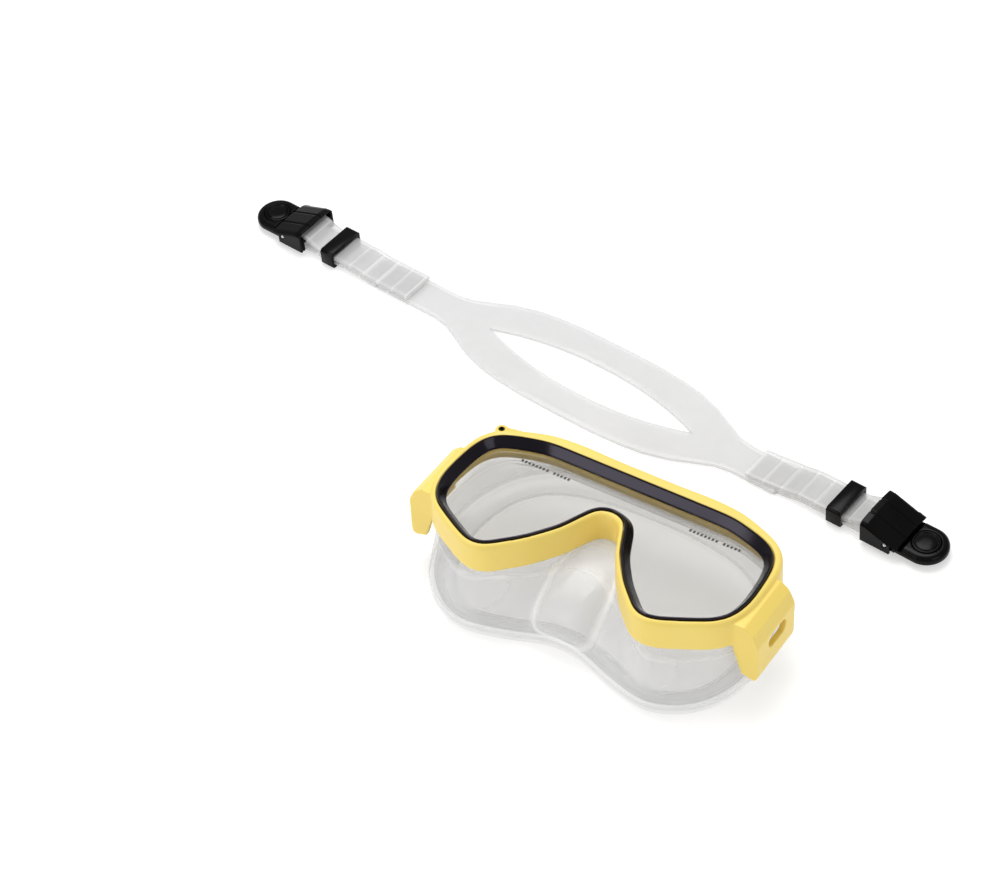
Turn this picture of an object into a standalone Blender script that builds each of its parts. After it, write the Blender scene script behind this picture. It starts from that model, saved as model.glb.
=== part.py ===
"""Diving mask with its strap unclipped and laid behind it. Metres, +Z up, +Y towards the forehead side."""

import math

import bmesh
import bpy
from mathutils import Matrix, Vector

MM = 0.001
NAME = "diving_mask"

# Placement. The mask rests on its skirt with the lens a little lower at the forehead.
SHIFT = Vector((76.536, -46.424, 0.0))
LENS_HEIGHT = 43.0
LENS_TILT = math.radians(-4.33)
MASK = Matrix.Translation(SHIFT + Vector((0, 0, LENS_HEIGHT))) @ Matrix.Rotation(LENS_TILT, 4, "X")
FLOOR = Matrix.Translation(SHIFT)
STRAP_CENTRE = Vector((-76.66, 104.43, 0.0))
STRAP_TURN = math.radians(-6.47)
STRAP = FLOOR @ Matrix.Translation(STRAP_CENTRE) @ Matrix.Rotation(STRAP_TURN, 4, "Z")
END_X = {"left": -158.5, "right": 158.5}
END_Y = {"left": 0.0, "right": 2.2}
END_TURN = {"left": math.pi, "right": 0.0}
DRIFT_START, DRIFT_LENGTH = -34.0, 32.0

# Half outline of the lens ring in millimetres: brow to temple, temple to cheek, cheek to nose.
RING = (
    ((0, 31.4), (22, 31.4), (43.3, 31.4), (49.6, 29.7), (55.8, 27.9), (61.8, 25.8), (64.7, 23.9),
     (66.8, 21.3), (68.0, 17.9), (68.6, 14.7), (69.1, 11.2), (69.8, 0)),
    ((69.8, 0), (69.7, -4.9), (68.7, -10.5), (67.6, -13.3), (66, -16.1), (63.9, -18.3),
     (61.2, -20.1), (55.8, -23.2), (50.5, -26), (44.8, -29), (41.6, -30), (40, -30.2)),
    ((40, -30.2), (38.4, -30), (35.2, -28.8), (32.5, -25.8), (27.9, -21.6), (23.9, -17.5),
     (15.6, -6.3), (13.7, -2), (11.4, 3.1), (10.1, 6.3), (8.2, 9.8), (5.2, 12.1), (0, 13.4)),
)
# Half outline of the skirt where it meets the face, in the same three runs.
SKIRT_FOOT = (
    ((0, 55), (25, 54), (48, 49), (63, 39), (72, 24), (75.5, 8)),
    ((75.5, 8), (75.5, -5), (74, -15), (71, -24.5), (65, -33), (57, -39.5), (46, -43.5)),
    ((46, -43.5), (34, -42), (20, -38), (9, -33.6), (0, -32.5)),
)
STEPS = (13, 9, 13)
# How far the ring's outer wall stands off that outline, spread evenly along each run.
WALL = ((7.6, 7.4, 8.2, 5.4, 4.2), (4.2, 4.0, 4.0), (4.0, 3.8, 3.8, 4.2))

STRAP_HALF = 8.4
STRAP_THICK = 2.2
HOLE_CENTRE = 6.2
HOLE_HALF_LENGTH = 56.5
HOLE_HALF_WIDTH = 9.6
SEAM = 0.8
# Half widths at distances from the middle of the opening.
STRAP_WIDTHS = ((0, 24.4), (20, 24.2), (35, 23.0), (45, 21.5), (57, 18.0), (66, 13.8), (75, 9.8),
                (83, STRAP_HALF))
TAIL_END = {"left": -93.5, "right": 96.5}

ROLLER_Z = 6.3
KEEPER_X = -17.5
PIN_X, PIN_Z = 9.0, 6.0
STUD_X = 22.3


def clear_scene():
    for obj in list(bpy.data.objects):
        bpy.data.objects.remove(obj, do_unlink=True)


def collection(name, hidden=False):
    made = bpy.data.collections.new(name)
    bpy.context.scene.collection.children.link(made)
    made.hide_render = hidden
    return made


def material(name, colour, roughness, metallic=0.0, transmission=0.0):
    made = bpy.data.materials.new(name)
    made.use_nodes = True
    shader = made.node_tree.nodes["Principled BSDF"]
    shader.inputs["Base Color"].default_value = (*colour, 1)
    shader.inputs["Roughness"].default_value = roughness
    shader.inputs["Metallic"].default_value = metallic
    shader.inputs["Transmission Weight"].default_value = transmission
    made.diffuse_color = (*colour, 1)
    return made


# ---------------------------------------------------------------- outlines


def along(points, steps):
    """Points spread evenly along an open line."""
    lengths = [0.0]
    for a, b in zip(points, points[1:]):
        lengths.append(lengths[-1] + math.dist(a, b))
    found = []
    for i in range(steps + 1):
        want = lengths[-1] * i / steps
        k = next(j for j in range(1, len(points)) if lengths[j] >= want - 1e-9)
        t = (want - lengths[k - 1]) / (lengths[k] - lengths[k - 1])
        found.append(tuple(p + (q - p) * t for p, q in zip(points[k - 1], points[k])))
    return found


def half(runs, counts):
    found = []
    for run, count in zip(runs, counts):
        found += along(run, count)[:-1]
    return found + [runs[-1][-1]]


def whole(right):
    """The closed loop of a right half that starts and ends on the middle line."""
    left = [(-x, y) for x, y in reversed(right[1:-1])]
    return [tuple(p) for p in right] + left


def smooth(loop, rounds):
    for _ in range(rounds):
        loop = [
            tuple((a + 2 * b + c) / 4 for a, b, c in zip(loop[i - 1], loop[i], loop[(i + 1) % len(loop)]))
            for i in range(len(loop))
        ]
    return loop


def offset(loop, amounts):
    """Each point moved outward by its own amount."""
    found = []
    for i, (x, y) in enumerate(loop):
        (ax, ay), (bx, by) = loop[i - 1], loop[(i + 1) % len(loop)]
        dx, dy = bx - ax, by - ay
        size = math.hypot(dx, dy)
        amount = amounts if isinstance(amounts, (int, float)) else amounts[i]
        found.append((x - dy / size * amount, y + dx / size * amount))
    return found


RING_LOOP = smooth(whole(half(RING, STEPS)), 1)
FOOT_LOOP = smooth(whole(half(SKIRT_FOOT, STEPS)), 3)


def wall_amounts():
    values = []
    for knots, count in zip(WALL, STEPS):
        spread = along([(i, k) for i, k in enumerate(knots)], count)
        values += [v for _, v in spread[:-1]]
    values.append(WALL[-1][-1])
    return values + values[-2:0:-1]


# ---------------------------------------------------------------- solids


TO_X = Matrix(((0, 0, 1, 0), (1, 0, 0, 0), (0, 1, 0, 0), (0, 0, 0, 1)))
TO_Y = Matrix.Rotation(math.radians(90), 4, "X")
MERGE = 0.00001


def at(loop, z):
    return [Vector((x, y, z)) for x, y in loop]


def finish(name, bm, placed, mat, home):
    """A mesh object from a bmesh in millimetres."""
    bmesh.ops.recalc_face_normals(bm, faces=bm.faces)
    if bm.calc_volume(signed=True) < 0:
        bmesh.ops.reverse_faces(bm, faces=bm.faces)
    bmesh.ops.transform(bm, matrix=Matrix.Scale(MM, 4) @ placed, verts=bm.verts)
    mesh = bpy.data.meshes.new(name)
    bm.to_mesh(mesh)
    bm.free()
    obj = bpy.data.objects.new(name, mesh)
    obj.data.materials.append(mat)
    home.objects.link(obj)
    return obj


def lofted(rings, closed):
    """A skin over unlike loops of equal length: a closed tube of them, or a stack with both ends capped."""
    bm = bmesh.new()
    rows = [[bm.verts.new(p) for p in ring] for ring in rings]
    count = len(rows[0])
    pairs = list(zip(rows, rows[1:]))
    if closed:
        pairs.append((rows[-1], rows[0]))
    for a, b in pairs:
        for i in range(count):
            j = (i + 1) % count
            bm.faces.new((a[i], a[j], b[j], b[i]))
    if not closed:
        bm.faces.new(rows[0])
        bm.faces.new(rows[-1])
    return bm


def cylinder(name, radius, low, high, segments, placed, mat, home):
    bm = bmesh.new()
    middle = Matrix.Translation((0, 0, (low + high) / 2))
    bmesh.ops.create_cone(bm, cap_ends=True, segments=segments, radius1=radius, radius2=radius,
                          depth=high - low, matrix=middle)
    return finish(name, bm, placed, mat, home)


def turned(name, profile, segments, placed, mat, home):
    """Pairs of radius and height turned about Z. A profile that starts off the axis is closed on itself."""
    edges = [(i, i + 1) for i in range(len(profile) - 1)]
    if profile[0][0] > 0:
        edges.append((len(profile) - 1, 0))
    mesh = bpy.data.meshes.new(name)
    mesh.from_pydata([(radius * MM, 0, z * MM) for radius, z in profile], edges, [])
    obj = bpy.data.objects.new(name, mesh)
    obj.data.materials.append(mat)
    obj.matrix_world = Matrix.Translation(placed.translation * MM) @ placed.to_3x3().to_4x4()
    home.objects.link(obj)
    step = obj.modifiers.new("turn", "SCREW")
    step.axis = "Z"
    step.steps = step.render_steps = segments
    step.use_merge_vertices = True
    step.merge_threshold = MERGE
    step.use_normal_flip = True
    return obj


def flat(name, outlines, low, high, placed, mat, home, chamfer=0.0):
    """A flat outline made solid between two heights. A second outline is a hole in the first."""
    curve = bpy.data.curves.new(name, "CURVE")
    curve.dimensions = "2D"
    curve.fill_mode = "BOTH"
    curve.extrude = (high - low) / 2 - chamfer
    curve.bevel_depth = chamfer
    curve.bevel_resolution = 0
    for outline in outlines:
        line = curve.splines.new("POLY")
        line.points.add(len(outline) - 1)
        for point, (x, y) in zip(line.points, outline):
            point.co = (x, y, 0, 1)
        line.use_cyclic_u = True
    guide = bpy.data.objects.new(name + "_outline", curve)
    bpy.context.scene.collection.objects.link(guide)
    graph = bpy.context.evaluated_depsgraph_get()
    mesh = bpy.data.meshes.new_from_object(guide.evaluated_get(graph))
    bm = bmesh.new()
    bm.from_mesh(mesh)
    bpy.data.objects.remove(guide, do_unlink=True)
    bpy.data.meshes.remove(mesh)
    bmesh.ops.remove_doubles(bm, verts=bm.verts, dist=0.0005)
    return finish(name, bm, placed @ Matrix.Translation((0, 0, (low + high) / 2)), mat, home)


def stadium(centre, half_length, radius, count):
    """An outline with round ends, long in its second direction."""
    loop = []
    for i in range(count):
        turn = math.tau * (i + 0.5) / count
        reach = math.copysign(half_length, math.sin(turn))
        loop.append((centre[0] + radius * math.cos(turn), centre[1] + reach + radius * math.sin(turn)))
    return loop


def combine(obj, others, operation, cutters):
    for other in others:
        for home in list(other.users_collection):
            home.objects.unlink(other)
        cutters.objects.link(other)
        other.hide_render = True
        other.display_type = "WIRE"
        step = obj.modifiers.new(other.name, "BOOLEAN")
        step.operation = operation
        step.solver = "EXACT"
        step.object = other


# ---------------------------------------------------------------- mask


RING_INSIDE, RING_LIP = 1.95, 2.3
RING_UNDER, RING_FRONT = -14.2, 0.9

# The ring's outer face as (distance from the outer wall line, height), front to back.
RING_OUTSIDE = ((-1.3, RING_FRONT), (-0.4, 0.2), (0.0, -1.5), (0.2, -13.0), (-0.7, RING_UNDER))

# Where each lug leaves the ring: (y, x) from its front face to its brow end.
LUG_FRONT_ROOT = ((-16.0, 69.9), (-13.2, 70.9))
LUG_FIN_ROOT = ((-14.6, 70.5), (-10.0, 71.6), (0.0, 72.8), (14.0, 71.8))
LUG_ROOT_LOW, LUG_ROOT_HIGH = -13.6, -1.4
LUG_OUT, LUG_IN, LUG_FOOT = 82.0, 79.4, -29.0
LUG_TOP = ((75.5, -1.2), (79.6, -4.6), (LUG_OUT, -10.0), (LUG_OUT, -27.0), (81.2, LUG_FOOT))
LUG_FRONT_LOW = ((LUG_IN, LUG_FOOT), (74.6, -27.4))
LUG_FIN_LOW = ((LUG_IN, LUG_FOOT), (LUG_IN, -13.0), (76.6, -10.6), (74.4, -13.0))
SLOT_CENTRE = (0.0, -15.0)
SLOT_HALF, SLOT_RADIUS, SLOT_POINTS = 3.6, 3.4, 16
CUT_PAST = 1.5

BOSS = Matrix.Translation((-65.5, 29.6, 0.0))
BOSS_PROFILE = ((0, -9.0), (2.5, -9.0), (2.8, -7.0), (2.8, 0.6), (2.4, 1.2), (0, 1.2))
BOSS_HOLE_RADIUS, BOSS_HOLE_LOW, BOSS_HOLE_HIGH = 1.35, -6.0, 4.0
WEB_OUTLINE = ((-66.0, 32.0), (-64.8, 32.3), (-55.5, 36.2), (-54.0, 31.0), (-64.0, 26.0))
WEB_LOW, WEB_HIGH = -12.0, 0.3
BUSH_PROFILE = ((0.55, -5.6), (1.05, -5.6), (1.05, 1.4), (0.55, 1.4))

RETAINER_SECTION = ((1.65, -2.9), (1.65, 1.2), (1.25, 1.6), (0.75, 1.6), (-2.0, -2.1), (-2.2, -2.9))
LENS_INSET, LENS_BACK, LENS_FRONT, LENS_CHAMFER = 0.8, -7.1, -3.2, 0.4


def lug_section(x0, y, low):
    loop = [(x0, LUG_ROOT_LOW), (x0, LUG_ROOT_HIGH), *LUG_TOP, *low]
    return [Vector((x, y, z)) for x, z in loop]


def lug(side, word, mat, cutters):
    """One lug as a fin along the ring and a solid front block."""
    made = []
    for part, roots, low in (("_fin", LUG_FIN_ROOT, LUG_FIN_LOW), ("_front", LUG_FRONT_ROOT, LUG_FRONT_LOW)):
        rings = [lug_section(x0, y, low) for y, x0 in roots]
        rings = [[Vector((p.x * side, p.y, p.z)) for p in ring] for ring in rings]
        made.append(finish(word + part, lofted(rings, False), MASK, mat, cutters))
    return made


def frame_body(mat, home, cutters):
    wall = wall_amounts()
    inner, lip = offset(RING_LOOP, RING_INSIDE), offset(RING_LOOP, RING_LIP)
    rings = [at(inner, LUG_ROOT_LOW), at(inner, 0.4), at(lip, RING_FRONT)]
    rings += [at(offset(RING_LOOP, [w + past for w in wall]), z) for past, z in RING_OUTSIDE]
    rings.append(at(lip, RING_UNDER))
    obj = finish("frame", lofted(rings, True), MASK, mat, home)
    added, cuts = [], []
    slot = stadium((0, 0), SLOT_HALF, SLOT_RADIUS, SLOT_POINTS)
    slot = [(y + SLOT_CENTRE[0], z + SLOT_CENTRE[1]) for z, y in slot]
    for side, word in ((1, "right"), (-1, "left")):
        added += lug(side, word, mat, cutters)
        low, high = sorted((side * (LUG_IN - CUT_PAST), side * (LUG_OUT + CUT_PAST)))
        cuts.append(flat(word + "_slot", [slot], low, high, MASK @ TO_X, mat, cutters))
    added.append(flat("web", [WEB_OUTLINE], WEB_LOW, WEB_HIGH, MASK, mat, cutters))
    added.append(turned("boss", BOSS_PROFILE, 20, MASK @ BOSS, mat, cutters))
    cuts.append(cylinder("boss_hole", BOSS_HOLE_RADIUS, BOSS_HOLE_LOW, BOSS_HOLE_HIGH, 16, MASK @ BOSS,
                         mat, cutters))
    combine(obj, added, "UNION", cutters)
    combine(obj, cuts, "DIFFERENCE", cutters)
    return obj


def camera_bush(mat, home):
    return turned("camera_bush", BUSH_PROFILE, 16, MASK @ BOSS, mat, home)


def lens_retainer(mat, home):
    rings = [at(offset(RING_LOOP, d), z) for d, z in RETAINER_SECTION]
    return finish("lens_retainer", lofted(rings, True), MASK, mat, home)


def lens(mat, home):
    outline = offset(RING_LOOP, LENS_INSET)
    return flat("lens", [outline], LENS_BACK, LENS_FRONT, MASK, mat, home, LENS_CHAMFER)


# The skirt. Its collar sits in the groove under the lens and its walls fall to a rolled foot.
COLLAR_OUT, COLLAR_IN, COLLAR_TOP = 1.6, -0.9, -7.4
WAIST_IN, WAIST_OUT_Z, WAIST_IN_Z = -0.6, -15.0, -15.4
FOOT_Z, FOOT_IN, FOOT_IN_Z = 3.6, 2.7, 5.2
WALL_LEVELS = ((0.42, 0.25), (0.74, 0.52), (0.93, 0.78))
SEAL = 10.5
SOLE = ((0.5, 1.2), (2.0, 0.0), (SEAL, 1.6), (SEAL + 0.5, 2.6), (SEAL - 0.5, 3.4))


def wall_level(top, low, spread, fall):
    """A loop part way down the skirt: `spread` of the way out and `fall` of the way down."""
    loop = []
    for a, b in zip(top, low):
        p = a.lerp(b, spread)
        p.z = a.z + (b.z - a.z) * fall
        loop.append(p)
    return loop


def skirt(mat, home):
    collar = [MASK @ p for p in at(offset(RING_LOOP, COLLAR_OUT), COLLAR_TOP)]
    waist = [MASK @ p for p in at(offset(RING_LOOP, COLLAR_OUT), WAIST_OUT_Z)]
    collar_in = [MASK @ p for p in at(offset(RING_LOOP, COLLAR_IN), COLLAR_TOP)]
    waist_in = [MASK @ p for p in at(offset(RING_LOOP, WAIST_IN), WAIST_IN_Z)]
    foot = [FLOOR @ p for p in at(FOOT_LOOP, FOOT_Z)]
    foot_in = [FLOOR @ p for p in at(offset(FOOT_LOOP, -FOOT_IN), FOOT_IN_Z)]
    outer = [wall_level(waist, foot, spread, fall) for spread, fall in WALL_LEVELS]
    inner = [wall_level(waist_in, foot_in, spread, fall) for spread, fall in WALL_LEVELS]
    sole = [[FLOOR @ p for p in at(offset(FOOT_LOOP, -inset), z)] for inset, z in SOLE]
    rings = [collar, waist, *outer, foot, *sole, foot_in, *reversed(inner), waist_in, collar_in]
    return finish("skirt", lofted(rings, True), Matrix(), mat, home)


# ---------------------------------------------------------------- strap


RUN_Z = 1.4
RUN_START, RUN_STEP, RUN_ROWS = -107.5, 8.96, 25
HOLE_POWER = 2.2
BEND_RADIUS = 3.6

# One end's middle line as (x, z, slope in degrees): from the tail to the roller, then back to the run.
TAIL_LINE = ((-52, 4.0, 0), (-42, 4.1, 0), (-35, 5.2, 0), (-22, 5.2, 0), (-12.5, 5.2, 4), (-8, 6.6, 25),
             (-3, 9.2, 20))
RETURN_LINE = ((-6, 2.7, -180), (-22, 2.7, -180), (-35, 2.7, -180), (-42, RUN_Z, -180), (-46, RUN_Z, -180))


def end_frame(side):
    return Matrix.Translation((END_X[side], END_Y[side], 0)) @ Matrix.Rotation(END_TURN[side], 4, "Z")


def strap_width(u):
    u = abs(u - HOLE_CENTRE)
    for (a, wa), (b, wb) in zip(STRAP_WIDTHS, STRAP_WIDTHS[1:]):
        if u <= b:
            return wa + (wb - wa) * (u - a) / (b - a)
    return STRAP_HALF


def hole_width(u):
    t = abs(u - HOLE_CENTRE) / HOLE_HALF_LENGTH
    return SEAM if t >= 1 else max(SEAM, HOLE_HALF_WIDTH * (1 - t**HOLE_POWER))


def end_stations(side):
    reach = abs(TAIL_END[side]) - abs(END_X[side])
    bend = []
    for turn in range(0, 181, 30):
        a = math.radians(90 - turn)
        bend.append((BEND_RADIUS * math.cos(a), ROLLER_Z + BEND_RADIUS * math.sin(a), -turn))
    return [(reach, TAIL_LINE[0][1], 0), *TAIL_LINE, *bend, *RETURN_LINE]


def drift(side, x):
    """The sideways run from an end's own line back to the strap's middle line."""
    t = min(1, max(0, (DRIFT_START - x) / DRIFT_LENGTH))
    return -END_Y[side] * t * t * (3 - 2 * t)


def end_rows(side):
    place = end_frame(side)
    turn = place.to_3x3()
    flip = -1 if side == "left" else 1
    rows = []
    for x, z, slope in end_stations(side):
        up = Matrix.Rotation(math.radians(-slope), 4, "Y") @ Vector((0, 0, 1))
        across = turn @ Vector((0, flip, 0))
        rows.append((place @ Vector((x, drift(side, x), z)), across, turn @ up, STRAP_HALF, SEAM))
    return rows


def run_row(u):
    return (Vector((u, 0, RUN_Z)), Vector((0, 1, 0)), Vector((0, 0, -1)), strap_width(u), hole_width(u))


def strap(mat, home):
    middle = [run_row(RUN_START + RUN_STEP * i) for i in range(RUN_ROWS)]
    return skin([*end_rows("left"), *middle, *reversed(end_rows("right"))], mat, home)


def skin(stations, mat, home):
    """Four lengthwise lines on each face. The middle strip is left open where the strap splits."""
    bm = bmesh.new()
    rows = []
    for p, across, up, wide, gap in stations:
        lift = up * (STRAP_THICK / 2)
        row = [[bm.verts.new(p + across * v + lift * s) for v in (-wide, -gap, gap, wide)] for s in (1, -1)]
        rows.append((row, gap > SEAM))
    last = len(rows) - 1
    for k in range(last):
        (a, open_a), (b, open_b) = rows[k], rows[k + 1]
        split = open_a or open_b
        for i in range(3):
            if i == 1 and split:
                continue
            bm.faces.new((a[0][i], a[0][i + 1], b[0][i + 1], b[0][i]))
            bm.faces.new((a[1][i + 1], a[1][i], b[1][i], b[1][i + 1]))
        bm.faces.new((a[0][3], a[1][3], b[1][3], b[0][3]))
        bm.faces.new((a[1][0], a[0][0], b[0][0], b[1][0]))
        if split:
            bm.faces.new((a[0][1], a[1][1], b[1][1], b[0][1]))
            bm.faces.new((a[1][2], a[0][2], b[0][2], b[1][2]))
    for k in range(1, last):
        before = rows[k - 1][1] or rows[k][1]
        after = rows[k][1] or rows[k + 1][1]
        if before != after:
            row = rows[k][0]
            bm.faces.new((row[0][1], row[0][2], row[1][2], row[1][1]))
    for k in (0, last):
        row = rows[k][0]
        for i in range(3):
            bm.faces.new((row[0][i], row[0][i + 1], row[1][i + 1], row[1][i]))
    return finish("strap", bm, STRAP, mat, home)


# ---------------------------------------------------------------- strap ends


KEEPER_HALF_LENGTH = 3.5
# Half width, underside, top and corner chamfer.
KEEPER_OUTSIDE, KEEPER_INSIDE = (10.0, 0.0, 9.0, 0.8), (8.7, 1.3, 6.7, 0.2)

HOOD_THICK = 1.3
HOOD_EDGE_X, HOOD_EDGE_TOP = -3.0, 13.4
HOOD_TOP, HOOD_FALL = 13.1, 5.2 / 14
HOOD_FOOT, HOOD_WING_END, HOOD_TIP = 1.9, 11.4, 15.0
HOOD_TIP_DEPTH = 1.45
GROOVE_Y, GROOVE_HALF, GROOVE_DEPTH = 4.0, 0.4, 0.5
WING_IN, WING_OUT, WING_CORNER = 10.3, 11.6, 1.2

HOLE_PAST = 13.0
PIN_RADIUS, PIN_HOLE_RADIUS, PIN_HALF = 0.9, 1.15, 11.5
ROLLER_HOLE_RADIUS = 1.35
ROLLER_PROFILE = ((0, -9.9), (1.1, -9.9), (1.1, -8.55), (2.2, -8.55), (2.2, 8.55), (1.1, 8.55), (1.1, 9.9),
                  (0, 9.9))

BODY_LOW, BODY_HIGH = 2.4, 4.8
BODY_NEAR, BODY_SHOULDER, BODY_HALF = 5.3, 12.5, 9.8
TAIL_ACROSS, TAIL_ALONG = 9.9, 9.7
EAR_OUTLINE = ((-3.0, 2.0), (-3.0, 9.2), (3.0, 9.2), (9.8, 7.4), (13.0, 4.6), (13.0, 2.6), (5.6, 2.6),
               (4.6, 1.6))
EAR_IN, EAR_OUT = 8.8, 10.0

STUD_HOLE_RADIUS = 2.95
HEAD_HALF, HEAD_RADIUS, HEAD_LOW, HEAD_HIGH = 2.9, 2.6, 0.4, 2.0
NECK_RADIUS, NECK_LOW, NECK_HIGH = 2.5, 1.2, 4.95
CAP_PROFILE = ((0, 5.1), (6.0, 5.1), (6.1, 5.3), (6.1, 6.2), (5.7, 6.6), (5.0, 6.6), (4.8, 6.2), (4.4, 6.2),
               (4.2, 6.6), (0, 6.6))


def across(x, z):
    """Carries Z onto the strap end's Y at this place."""
    return Matrix.Translation((x, 0, z)) @ Matrix.Rotation(math.radians(-90), 4, "X")


def keeper_outline(half_width, low, high, corner):
    right = [(half_width - corner, low), (half_width, low + corner), (half_width, high - corner),
             (half_width - corner, high)]
    return right + [(-y, z) for y, z in reversed(right)]


def keeper(side, mat, home):
    outlines = [keeper_outline(*KEEPER_OUTSIDE), keeper_outline(*KEEPER_INSIDE)]
    low, high = KEEPER_X - KEEPER_HALF_LENGTH, KEEPER_X + KEEPER_HALF_LENGTH
    return flat(side + "_keeper", outlines, low, high, STRAP @ end_frame(side) @ TO_X, mat, home)


def hood_loop(x, top, low):
    """One cross-section of the hood: a top with two grooves, and a wing down each side."""
    inside = top - HOOD_THICK
    right = [(GROOVE_Y - GROOVE_HALF, top), (GROOVE_Y, top - GROOVE_DEPTH), (GROOVE_Y + GROOVE_HALF, top),
             (WING_OUT - WING_CORNER, top), (WING_OUT, top - WING_CORNER), (WING_OUT, low), (WING_IN, low),
             (WING_IN, inside)]
    left = [(-y, z) for y, z in reversed(right)]
    return [Vector((x, y, z)) for y, z in right + left]


def release_lever(side, mat, home, cutters):
    stations = [(HOOD_EDGE_X, HOOD_EDGE_TOP, HOOD_FOOT), (0, HOOD_TOP, HOOD_FOOT)]
    for x in (HOOD_WING_END, HOOD_WING_END + 0.1, HOOD_TIP):
        top = HOOD_TOP - HOOD_FALL * x
        stations.append((x, top, HOOD_FOOT if x == HOOD_WING_END else top - HOOD_TIP_DEPTH))
    place = STRAP @ end_frame(side)
    rings = [hood_loop(*station) for station in stations]
    obj = finish(side + "_release_lever", lofted(rings, False), place, mat, home)
    at_pin = place @ across(PIN_X, PIN_Z)
    hole = cylinder(side + "_lever_hole", PIN_HOLE_RADIUS, -HOLE_PAST, HOLE_PAST, 16, at_pin, mat, cutters)
    combine(obj, [hole], "DIFFERENCE", cutters)
    return obj


def body_outline():
    """Square at the strap side and round about the stud at the tail."""
    loop = [(BODY_NEAR, -BODY_HALF), (BODY_SHOULDER, -BODY_HALF)]
    for i in range(13):
        turn = math.radians(-90 + 15 * i)
        loop.append((STUD_X + TAIL_ALONG * math.cos(turn), TAIL_ACROSS * math.sin(turn)))
    return loop + [(BODY_SHOULDER, BODY_HALF), (BODY_NEAR, BODY_HALF)]


def buckle_body(side, mat, home, cutters):
    place = STRAP @ end_frame(side)
    obj = flat(side + "_buckle_body", [body_outline()], BODY_LOW, BODY_HIGH, place, mat, home)
    ears = [flat(side + word, [EAR_OUTLINE], low, high, place @ TO_Y, mat, cutters)
            for word, low, high in (("_ear_a", EAR_IN, EAR_OUT), ("_ear_b", -EAR_OUT, -EAR_IN))]
    at_stud = place @ Matrix.Translation((STUD_X, 0, 0))
    holes = []
    for word, radius, low, where in (
        ("_roller_hole", ROLLER_HOLE_RADIUS, -HOLE_PAST, place @ across(0, ROLLER_Z)),
        ("_pin_hole", PIN_HOLE_RADIUS, -HOLE_PAST, place @ across(PIN_X, PIN_Z)),
        ("_stud_hole", STUD_HOLE_RADIUS, 0, at_stud),
    ):
        holes.append(cylinder(side + word, radius, low, HOLE_PAST, 20, where, mat, cutters))
    combine(obj, ears, "UNION", cutters)
    combine(obj, holes, "DIFFERENCE", cutters)
    return obj


def roller(side, mat, home):
    place = STRAP @ end_frame(side) @ across(0, ROLLER_Z)
    return turned(side + "_strap_roller", ROLLER_PROFILE, 16, place, mat, home)


def lever_pin(side, mat, home):
    place = STRAP @ end_frame(side) @ across(PIN_X, PIN_Z)
    return cylinder(side + "_lever_pin", PIN_RADIUS, -PIN_HALF, PIN_HALF, 12, place, mat, home)


def swivel_stud(side, mat, home, cutters):
    """A hammer head that goes through the frame's slot, on a round neck."""
    place = STRAP @ end_frame(side) @ Matrix.Translation((STUD_X, 0, 0))
    head = stadium((0, 0), HEAD_HALF, HEAD_RADIUS, 20)
    obj = flat(side + "_swivel_stud", [head], HEAD_LOW, HEAD_HIGH, place, mat, home)
    neck = cylinder(side + "_neck", NECK_RADIUS, NECK_LOW, NECK_HIGH, 20, place, mat, cutters)
    combine(obj, [neck], "UNION", cutters)
    return obj


def stud_cap(side, mat, home):
    place = STRAP @ end_frame(side) @ Matrix.Translation((STUD_X, 0, 0))
    return turned(side + "_stud_cap", CAP_PROFILE, 24, place, mat, home)


def axis_marker(name, place, point, home):
    """An empty on a joint axis, which runs along its Y for a hinge pin and Z for a stud."""
    empty = bpy.data.objects.new(name, None)
    empty.empty_display_size = 0.01
    empty.matrix_world = Matrix.Translation((place @ Vector(point)) * MM) @ place.to_3x3().to_4x4()
    home.objects.link(empty)
    return empty


def strap_end(side, black, steel, home, cutters):
    keeper(side, black, home)
    body = buckle_body(side, black, home, cutters)
    turning = roller(side, black, home)
    lever = release_lever(side, black, home, cutters)
    pin = lever_pin(side, steel, home)
    stud = swivel_stud(side, black, home, cutters)
    cap = stud_cap(side, black, home)
    bpy.context.view_layer.update()
    place = STRAP @ end_frame(side)
    for word, point, riders in (
        ("_roller_axis", (0, 0, ROLLER_Z), (body, pin, turning)),
        ("_lever_axis", (PIN_X, 0, PIN_Z), (lever,)),
        ("_stud_axis", (STUD_X, 0, 0), (stud, cap)),
    ):
        empty = axis_marker(side + word, place, point, home)
        for rider in riders:
            rider.parent = empty
            rider.matrix_parent_inverse = empty.matrix_world.inverted()


def main():
    clear_scene()
    home = collection(NAME)
    cutters = collection("cutters", hidden=True)
    yellow = material("frame_yellow", (0.93, 0.66, 0.14), 0.35)
    black = material("gloss_black", (0.012, 0.012, 0.014), 0.2)
    clear = material("lens_glass", (0.95, 0.96, 0.96), 0.02, transmission=1.0)
    silicone = material("clear_silicone", (0.82, 0.83, 0.83), 0.3, transmission=0.5)
    steel = material("pin_steel", (0.6, 0.6, 0.62), 0.3, 1.0)
    frame_body(yellow, home, cutters)
    camera_bush(black, home)
    lens_retainer(black, home)
    lens(clear, home)
    skirt(silicone, home)
    strap(silicone, home)
    for side in ("left", "right"):
        strap_end(side, black, steel, home, cutters)


main()
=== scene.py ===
"""Looks of the diving mask. Its strap is unclipped and lies behind it.

Sizes are in millimetres, and each piece is made in metres with +Z up.
"""

import math

import bmesh
import bpy
from mathutils import Matrix, Vector


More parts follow.
